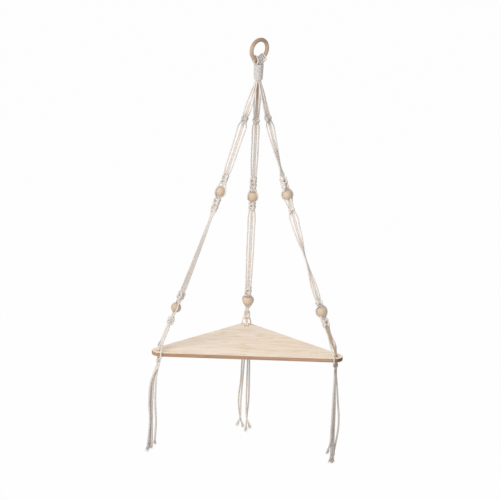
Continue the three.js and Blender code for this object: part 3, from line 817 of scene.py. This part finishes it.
def wood(name, early, late, dark, ring_mm, pith, contrast, offset=(0, 0, 0), roughness=0.55, painted_shade=None):
    """Wood whose fibres run along X: growth rings round the pith, fine fibres and pores.

    A painted shade is an axis, the places in mm along it where it starts and is full, and its most: a
    darkening that stands in for shade.
    """
    g = Graph(bpy.data.materials.new(name))
    place = g.node("TexCoord").outputs["Object"]
    place = g.vector("MULTIPLY", place, (1 / MM, 1 / MM, 1 / MM))
    place = g.vector("ADD", place, offset)
    warp = g.noise(place, WARP_SCALES, detail=3.0, output="Color")
    reach = ring_mm * WARP_RINGS
    warp = g.vector("MULTIPLY", g.vector("SUBTRACT", warp, grey(0.5)), (0, reach, reach))
    around = g.vector("ADD", g.vector("SUBTRACT", place, (0, *pith)), warp)
    radius = g.vector("LENGTH", g.vector("MULTIPLY", around, (RING_LENGTH_SHARE, 1, 1)))
    bands = g.ramp(g.math("FRACT", g.math("DIVIDE", radius, ring_mm)), RING_BANDS, "EASE")
    fine = g.noise(place, FINE_SCALES, detail=4.0, roughness=0.6)
    pores = g.noise(place, PORE_SCALES)
    broad = g.noise(place, BROAD_SCALES)
    colour = g.mix(g.math("MULTIPLY", bands, contrast), early, late)
    colour = g.mix(g.fade(broad, 0.35, 0.7, most=0.45), colour, late)
    colour = g.mix(g.fade(fine, 0.48, 0.8, most=0.4), colour, dark)
    colour = g.mix(g.fade(pores, 0.62, 0.75, most=0.25), colour, dark)
    # Painted shade: darkens the wood along one axis
    if painted_shade:
        axis, start, end, most = painted_shade
        split = g.node("SeparateXYZ", {"Vector": place})
        depth = g.span(split.outputs[axis], start, end, high=most, easing="SMOOTHSTEP")
        colour = g.mix(depth, colour, g.mix(1.0, colour, PAINTED_SHADE_COLOUR, "MULTIPLY"))
    rough = g.span(fine, 0.0, 1.0, low=roughness - 0.08, high=roughness + 0.12)
    fibred = g.bump(fine, strength=0.2, distance=0.0003)
    normal = g.bump(pores, strength=0.25, distance=0.0002, under=fibred)
    dull = {"Specular IOR Level": 0.35}
    return g.finish({"Base Color": colour, "Roughness": rough, "Normal": normal, **dull})


# The cord's cotton: its valley colour is painted shade between the plies
cord_cotton = cotton("cord_cotton", light="E7E0DA", valley_shade="DED6CF")
board_pine = wood(
    "board_pine", "F5E8D9", "E3CBAE", "CFB08F",
    ring_mm=15.0, pith=(75.0, -700.0), contrast=0.85,
)
# Edge wood: darker partly in its own colour and partly as painted shade on edges that face away from the
# light from above, with painted shade darkening the right nose
board_edge_shaded = wood(
    "board_edge_shaded", "B49276", "997860", "795A46",
    ring_mm=5.0, pith=(60.0, -720.0), contrast=0.7, painted_shade=("X", 164.0, 182.0, 0.9),
)
# Ring wood, with painted shade darkening it towards its top
ring_wood = wood(
    "ring_wood", "C6AE96", "A68C77", "7A6458",
    ring_mm=3.2, pith=(40.0, 20.0), contrast=0.5, roughness=0.5, painted_shade=("Z", 4.0, 21.0, 0.42),
)

# Cords
WRAP_TINT = (0.83, 0.86, 0.9)
LOOP_TINT = grey(0.86)
cord_numbers = itertools.count(1)  # each cord's number is its seed


def add_cotton(name, mesh):
    return add_object(name, mesh, cord_cotton, "sling")


def add_rope(name, line, diameter=ROPE, tint=PLAIN_TINT, swell=1.0):
    mesh, end_turn = rope_mesh(name, line, diameter, next(cord_numbers), tint=tint, swell=swell)
    return add_cotton(name, mesh), end_turn


for index, route in enumerate(loop_routes()):
    piece, _ = add_rope(f"loop_rope_{index + 1}", smooth(route), LOOP_ROPE, LOOP_TINT)
    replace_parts(piece, f"loop_{index + 1}")

piece, _ = add_rope("gathering_rope", smooth(wrap_route()), THIN_ROPE, WRAP_TINT)
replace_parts(piece, "gathering_wrap")

# Painted light and shade on the arms by height: darker bands where the cords lie in shade, paler
# stretches where more light falls on them, and some inner cords are darkest
ARM_LIGHT_AND_SHADE = {
    "left": [
        (-640, (0.97, 0.96, 0.95)), (-520, grey(0.92)), (-480, grey(0.8)), (-400, grey(0.78)),
        (-350, grey(0.95)), (-176, grey(1.0)), (-166, grey(0.78)), (-148, grey(0.78)),
        (-138, grey(1.0)),
    ],
    "back": [
        (-640, (0.97, 0.94, 0.9)), (-621, (1.25, 1.23, 1.2)), (-604, (1.25, 1.23, 1.2)),
        (-594, grey(1.0)), (-560, grey(1.0)), (-500, grey(1.1)), (-370, grey(1.1)),
        (-320, grey(1.0)),
    ],
    "right": [
        (-634, (0.6, 0.58, 0.56)), (-620, (0.95, 0.93, 0.9)), (-520, grey(0.95)),
        (-470, grey(1.08)), (-370, grey(1.08)), (-320, grey(1.0)), (-174, grey(1.0)),
        (-164, grey(0.74)), (-148, grey(0.74)), (-138, grey(1.0)),
    ],
}
# Painted shade, a warm tan, on the inner cords of the back arm below the neck and of the right arm near
# the board
FILLER_PAINTED_SHADE = {
    "back": [(-170, grey(1.0)), (-140, (0.84, 0.73, 0.62)), (-55, (0.84, 0.7, 0.57))],
    "right": [
        (-634, grey(1.0)), (-618, (0.8, 0.68, 0.56)), (-560, (0.84, 0.74, 0.64)), (-530, grey(1.0)),
    ],
}
# Painted light and shade on the tassels by distance from their tops: two of them darken towards their
# ends as painted shade, and the back one, browner at its top, is painted paler towards its end
TASSEL_LIGHT_AND_SHADE = {
    "left": [(0, (0.97, 0.96, 0.95)), (60, (0.9, 0.89, 0.88)), (150, (0.8, 0.79, 0.78))],
    "back": [(0, (0.97, 0.94, 0.9)), (60, (0.97, 0.94, 0.89)), (150, (1.08, 1.06, 1.03))],
    "right": [
        (0, (0.6, 0.58, 0.56)), (14, (0.93, 0.92, 0.91)), (60, (0.86, 0.85, 0.84)),
        (150, (0.74, 0.73, 0.72)),
    ],
}
# How much fuller a strand is once it has loosened, and how fast it loosens, in strand lengths
TASSEL_LOOSEN = {"left": 0.28, "back": 0.08, "right": 0.28}
LOOSEN_RATE = 2.5

# Frayed ends: the plies come apart into yarns
YARNS = 22
YARN_SIDES = 5
YARN_RINGS = 6
YARN_RADIUS = 0.55
YARN_TAPER = 0.55  # share of the radius that is lost by the tip
YARN_TURN = 0.381966  # of a circle, from one yarn to the next
YARN_TURN_SPREAD = 0.03
YARN_CORE = 0.72  # share of the cord's radius in which the yarns start
YARN_START = 4.0  # how far they start inside the cord
YARN_LENGTHS = (0.7, 1.0)  # shares of FRAY_LENGTH
YARN_SPLAY = (1.0, 3.4)
YARN_LEAST_SPLAY = 0.6
YARN_SPLAY_SHARE = 0.6
YARN_SPLAY_CURVE = 1.3
YARN_DRIFT = 1.1
YARN_DROOP = 0.6
YARN_LAY_SHIFT = 9
FRAYED_STEPS = 10  # how many steps of its line a cord is frayed over
FRAY_LENGTH = 16.0
FRAY_SEED = 500


def fray_mesh(name, line, seed, tint):
    """The yarns at a cord's end, which splay, drift and droop a little each on its own."""
    draw = np.random.default_rng(seed + FRAY_SEED)
    ahead, first, second = (way[-FRAYED_STEPS] for way in frames_along(line))
    tip = line[-FRAYED_STEPS]
    vertices, faces, lays = [], [], []
    sides = np.arange(YARN_SIDES) * 2 * np.pi / YARN_SIDES
    for yarn in range(YARNS):
        angle = 2 * np.pi * (yarn * YARN_TURN + draw.uniform(-YARN_TURN_SPREAD, YARN_TURN_SPREAD))
        out = first * math.cos(angle) + second * math.sin(angle)
        start = CORD / 2 * math.sqrt((yarn + 0.5) / YARNS) * YARN_CORE
        length = FRAY_LENGTH * draw.uniform(*YARN_LENGTHS)
        splay = draw.uniform(*YARN_SPLAY) * (YARN_LEAST_SPLAY + start) * YARN_SPLAY_SHARE
        drift = draw.normal(0, YARN_DRIFT, 3)
        base = len(vertices)
        for k in range(YARN_RINGS + 1):
            t = k / YARN_RINGS
            centre = tip + ahead * (length * t - YARN_START) + out * (start + splay * t**YARN_SPLAY_CURVE)
            centre = centre + drift * t**2 - vec(0, 0, YARN_DROOP) * t
            radius = YARN_RADIUS * (1 - YARN_TAPER * t)
            for side in sides:
                vertices.append(centre + (first * math.cos(side) + second * math.sin(side)) * radius)
                lays.append((math.cos(side), math.sin(side), yarn * YARN_LAY_SHIFT + length * t))
        faces += [[base + v for v in face] for face in tube_faces(YARN_RINGS + 1, YARN_SIDES)]
        end = base + YARN_RINGS * YARN_SIDES
        faces.append([base + k for k in reversed(range(YARN_SIDES))])
        faces.append([end + k for k in range(YARN_SIDES)])
    mesh = make_mesh(name, vertices, faces)
    set_lay(mesh, lays, np.tile(tint, (len(lays), 1)))
    return mesh


def add_arm_cord(arm_name, line, side, kind, route):
    """One cord of an arm. Gives the turn of its plies at its lower end."""
    cord = smooth(route)
    tint = tint_at(cord[:, 2], ARM_LIGHT_AND_SHADE[arm_name])
    if kind == "filler" and arm_name in FILLER_PAINTED_SHADE:
        tint = tint * tint_at(cord[:, 2], FILLER_PAINTED_SHADE[arm_name])
    swell = knot_swell(arm_name, line, cord, KNOT_SWELL[kind])
    piece, end_turn = add_rope(f"{arm_name}_rope_{side}_{kind}", cord, tint=tint, swell=swell)
    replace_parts(piece, f"{arm_name}_arm_{side}_{kind}_cord")
    return end_turn


def add_strand(arm_name, role, top, start_turn):
    """The tassel strand in which an arm's cord goes on, with its frayed end."""
    strand = smooth([top] + [top + vec(x, y, -down - GAP) for down, x, y in TASSELS[arm_name][role]])
    laid = strand[: len(strand) - FRAYED_STEPS]
    reach = np.arange(len(laid)) * RING_STEP
    tint = tint_at(reach, TASSEL_LIGHT_AND_SHADE[arm_name])
    loose = 1 + TASSEL_LOOSEN[arm_name] * np.clip(reach / reach[-1] * LOOSEN_RATE, 0, 1)
    name, fray_name = f"{arm_name}_strand_{role}", f"{arm_name}_fray_{role}"
    number = next(cord_numbers)
    mesh, _ = rope_mesh(name, laid, ROPE, number, start_turn, tint, loose)
    piece = add_cotton(name, mesh)
    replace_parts(piece, f"{arm_name}_tassel_{role}")
    fray = add_cotton(fray_name, fray_mesh(fray_name, strand, number, tint[-1]))


for arm_name in ARMS:
    line = ArmLine(arm_name)
    for kind, make_route in (("working", worker_route), ("filler", filler_route)):
        for side, sign in (("minus", -1), ("plus", 1)):
            route = make_route(arm_name, line, sign)
            end_turn = add_arm_cord(arm_name, line, side, kind, route)
            role = side if kind == "working" else f"{side}_filler"
            add_strand(arm_name, role, route[-1], end_turn)


# Board: rounded in plan, with eased edges round both faces and the holes
NOSE_STEPS = 20
HOLE_STEPS = 40
EASE = 1.1
EASE_STEPS = 3
FLAT_NORMAL = 0.999  # faces from here up are flat
FACE_NORMAL = 0.75  # and from here up they show the board's face wood


def round_corners():
    order = [CORNERS["left"], CORNERS["right"], CORNERS["back"]]
    points = []
    for index, corner in enumerate(order):
        tip = corner["tip"]
        before = unit(order[index - 1]["tip"] - tip)
        after = unit(order[(index + 1) % 3]["tip"] - tip)
        half = math.acos(float(before @ after)) / 2
        centre = tip + unit(before + after) * BOARD_NOSE / math.sin(half)
        start = math.atan2(-before[0], before[1]) + math.pi
        for k in range(NOSE_STEPS + 1):
            angle = start + (math.pi - 2 * half) * k / NOSE_STEPS
            points.append(centre + BOARD_NOSE * vec(math.cos(angle), math.sin(angle), 0))
    return points


def hole_ring(corner):
    centre = hole_centre(corner)
    return [centre + seat_at(BOARD_HOLE / 2, 360 * k / HOLE_STEPS, 0) for k in range(HOLE_STEPS)]


def make_board():
    data = bpy.data.curves.new("board_outline", "CURVE")
    data.dimensions = "2D"
    data.fill_mode = "BOTH"
    data.extrude = (BOARD_THICKNESS / 2 - EASE) * MM
    data.bevel_depth = EASE * MM
    data.bevel_resolution = EASE_STEPS
    data.offset = -EASE * MM
    for ring in [round_corners(), *map(hole_ring, CORNERS.values())]:
        spline = data.splines.new("POLY")
        spline.points.add(len(ring) - 1)
        for point, place in zip(spline.points, ring):
            point.co = (place[0] * MM, place[1] * MM, 0, 1)
        spline.use_cyclic_u = True
    outline = bpy.data.objects.new("board_outline", data)
    mesh = bpy.data.meshes.new_from_object(outline)
    bpy.data.objects.remove(outline)
    mesh.name = "board"
    mesh.materials.clear()
    mesh.transform(Matrix.Translation((0, 0, (board_top_z - BOARD_THICKNESS / 2) * MM)))
    board = add_object("board", mesh, board_pine, "sling")
    mesh.materials.append(board_edge_shaded)
    for polygon in mesh.polygons:
        level = abs(polygon.normal.z)
        polygon.use_smooth = level <= FLAT_NORMAL
        # Steep faces get the darker edge wood, which carries painted shade
        polygon.material_index = 0 if level > FACE_NORMAL else 1
    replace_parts(board, "shelf_board")


make_board()

# Beads: turned balls, each with its own grain
BEAD_AROUND = 48
BEAD_PROFILE = 30
LIP = 0.7
LIP_STEPS = 4


def bead_profile():
    """A bead's section, from the bottom lip round the outside to the top lip and down the bore."""
    ball, bore = BEAD / 2, BEAD_BORE / 2
    height = math.sqrt(ball**2 - (bore + LIP) ** 2)
    start = math.atan2(height, bore + LIP)
    angles = [-start + 2 * start * k / BEAD_PROFILE for k in range(BEAD_PROFILE + 1)]
    points = [(math.cos(angle) * ball, math.sin(angle) * ball) for angle in angles]
    lip = []
    for k in range(1, LIP_STEPS + 1):
        angle = math.pi / 2 * k / LIP_STEPS
        lip.append((bore + LIP - LIP * math.sin(angle), height - LIP * (1 - math.cos(angle))))
    return points + lip + [(r, -z) for r, z in lip[-2::-1]]


def lathe(name, section, around, axis=0):
    """A closed section of radii and heights, turned round an axis: 0 for X or 1 for Y."""
    sides = len(section)
    vertices, faces = [], []
    for k in range(around):
        angle = 2 * math.pi * k / around
        for r, z in section:
            point = [r * math.cos(angle), r * math.sin(angle)]
            point.insert(axis, z)
            vertices.append(point)
        near, far = k * sides, (k + 1) % around * sides
        for j in range(sides):
            face = [near + j, near + (j + 1) % sides, far + (j + 1) % sides, far + j]
            faces.append(face[:1] + face[:0:-1] if axis else face)
    return make_mesh(name, vertices, faces)


# Each bead's early, late and dark wood
BEAD_TONES = [
    ("D2BFAA", "C0A78A", "A0866A"),
    ("CEBAA6", "BAA188", "9A8068"),
    ("E1CCB4", "D0B494", "B09272"),
    ("E0CCB6", "CDB196", "A98D70"),
    ("CFBEAB", "BBA286", "9C8268"),
    ("D2BFAA", "BCA288", "9A7F66"),
]
BEAD_GRAIN_SHIFT = (61.0, 23.0, 7.0)


def bead_grain(number):
    """The wood of one bead, with a pith and a place in the log of its own."""
    offset = tuple(shift * number for shift in BEAD_GRAIN_SHIFT)
    return wood(
        f"bead_wood_{number + 1}", *BEAD_TONES[number], ring_mm=2.6,
        pith=(9.0 + 4 * number, 14.0 - 5 * number), offset=offset, roughness=0.48, contrast=0.75,
    )


bead_numbers = itertools.count()
for arm_name in ARMS:
    line = ArmLine(arm_name)
    places = [share for kind, share, _, _ in ARMS[arm_name]["stations"] if kind == "bead"]
    for which, share in zip(("upper", "lower"), places):
        centre, right, front = line.above(share * line.length)
        axis = unit(np.cross(right, front))
        axes = Matrix([list(axis), list(right), list(np.cross(axis, right))]).transposed().to_4x4()
        name, bead = f"{arm_name}_{which}_ball", f"{arm_name}_{which}_bead"
        mesh = lathe(name, bead_profile(), BEAD_AROUND)
        placed = Matrix.Translation(centre * MM) @ axes
        ball = add_object(name, mesh, bead_grain(next(bead_numbers)), bead, placed)
        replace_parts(ball, bead)


# Ring: a turned hoop
RING_AROUND = 96
RING_ROUND = 28


def make_ring():
    angles = [2 * math.pi * k / RING_ROUND for k in range(RING_ROUND)]
    section = [(ring_mean + math.cos(b) * RING_BAR / 2, math.sin(b) * RING_BAR / 2) for b in angles]
    placed = Matrix.Translation((0, 0, ring_centre_z * MM)) @ Matrix.Rotation(yaw, 4, "Z")
    mesh = lathe("hoop", section, RING_AROUND, axis=1)
    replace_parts(add_object("hoop", mesh, ring_wood, "ring", placed), "hanging_ring")


make_ring()

# Floor, lamps and backdrop, in metres
FLOOR_Z = -1.7
FLOOR_HALF = 20.0
FLOOR_COLOUR = (0.9, 0.9, 0.9, 1.0)
FLOOR_WHITE_SHARE = 0.97  # how much of the floor is plain white where it is seen straight
WHITE = (1.0, 1.0, 1.0, 1.0)
SKY_COLOUR = (0.98, 0.99, 1.0, 1.0)
SKY_STRENGTH = 0.56


def seen_straight(g):
    """1 for rays of the camera, of a mirror image or of a look through glass, else 0."""
    path = g.node("LightPath")
    total = path.outputs["Is Camera Ray"]
    for name in ("Is Glossy Ray", "Is Transmission Ray"):
        total = g.math("MAXIMUM", total, path.outputs[name])
    return total


def make_world():
    """An even sky that lights the shelf, and plain white where the camera sees it."""
    scene.world = bpy.data.worlds.new("studio")
    g = Graph(scene.world)
    g.tree.nodes.clear()
    light = g.node("Background", {"Color": SKY_COLOUR, "Strength": SKY_STRENGTH})
    shown = g.node("Background", {"Color": WHITE, "Strength": 1.0})
    mix = g.node("MixShader", {0: seen_straight(g), 1: light.outputs[0], 2: shown.outputs[0]})
    g.node("OutputWorld", {"Surface": mix.outputs[0]})


def make_floor():
    g = Graph(bpy.data.materials.new("floor_paint"))
    paint = g.finish({"Base Color": FLOOR_COLOUR, "Roughness": 0.9})
    white = g.node("Emission", {"Color": WHITE, "Strength": 1.0})
    share = g.math("MULTIPLY", seen_straight(g), FLOOR_WHITE_SHARE)
    mix = g.node("MixShader", {0: share, 1: g.surface.outputs[0], 2: white.outputs[0]})
    g.tree.links.new(mix.outputs[0], g.tree.nodes["Material Output"].inputs["Surface"])
    around = ((-1, -1), (1, -1), (1, 1), (-1, 1))
    mesh = bpy.data.meshes.new("floor")
    mesh.from_pydata([(x * FLOOR_HALF, y * FLOOR_HALF, FLOOR_Z) for x, y in around], [], [[0, 1, 2, 3]])
    mesh.materials.append(paint)
    floor = bpy.data.objects.new("floor", mesh)
    scene.collection.objects.link(floor)


def add_lamp(name, place, size, watts, colour=(1.0, 1.0, 1.0)):
    data = bpy.data.lights.new(name, "AREA")
    data.shape = "SQUARE"
    data.size = size
    data.energy = watts
    data.color = colour
    lamp = bpy.data.objects.new(name, data)
    scene.collection.objects.link(lamp)
    lamp.location = place
    lamp.rotation_euler = (LOOK_AT - Vector(place)).to_track_quat("-Z", "Y").to_euler()


make_world()
make_floor()
add_lamp("key", (-2.4, -3.2, 2.5), size=2.8, watts=180.0, colour=(1.0, 0.99, 0.98))
add_lamp("fill", (2.6, -3.2, 0.6), size=2.0, watts=12.0)

scene.view_settings.view_transform = "Standard"
